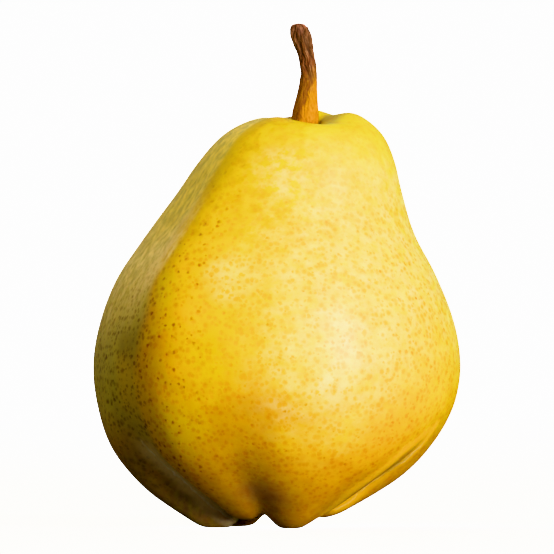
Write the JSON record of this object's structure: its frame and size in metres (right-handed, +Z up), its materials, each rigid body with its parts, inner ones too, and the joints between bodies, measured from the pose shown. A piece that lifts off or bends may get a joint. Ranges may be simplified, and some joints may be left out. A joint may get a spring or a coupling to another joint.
{
  "type": "pear",
  "caption": "Ripe pear standing on the lobes round its eye, with a broad lobed belly, a short neck, a curved woody stem and a dried calyx underneath.",
  "frame": {"origin": "under the middle of the pear's bounding box, on the surface that it stands on", "axes": "+Z up from the eye to the stem, -Y towards the side with the narrow front left lobe and the full front right lobe, +X to the right of that side"},
  "size_m": [0.0804, 0.0786, 0.1097],
  "materials": {
    "skin": "satin",
    "stem_wood": "matte",
    "calyx_husk": "matte"
  },
  "bodies": {
    "root": {"fruit": "skin", "stem": "stem_wood", "calyx": "calyx_husk"}
  },
  "joints": []
}
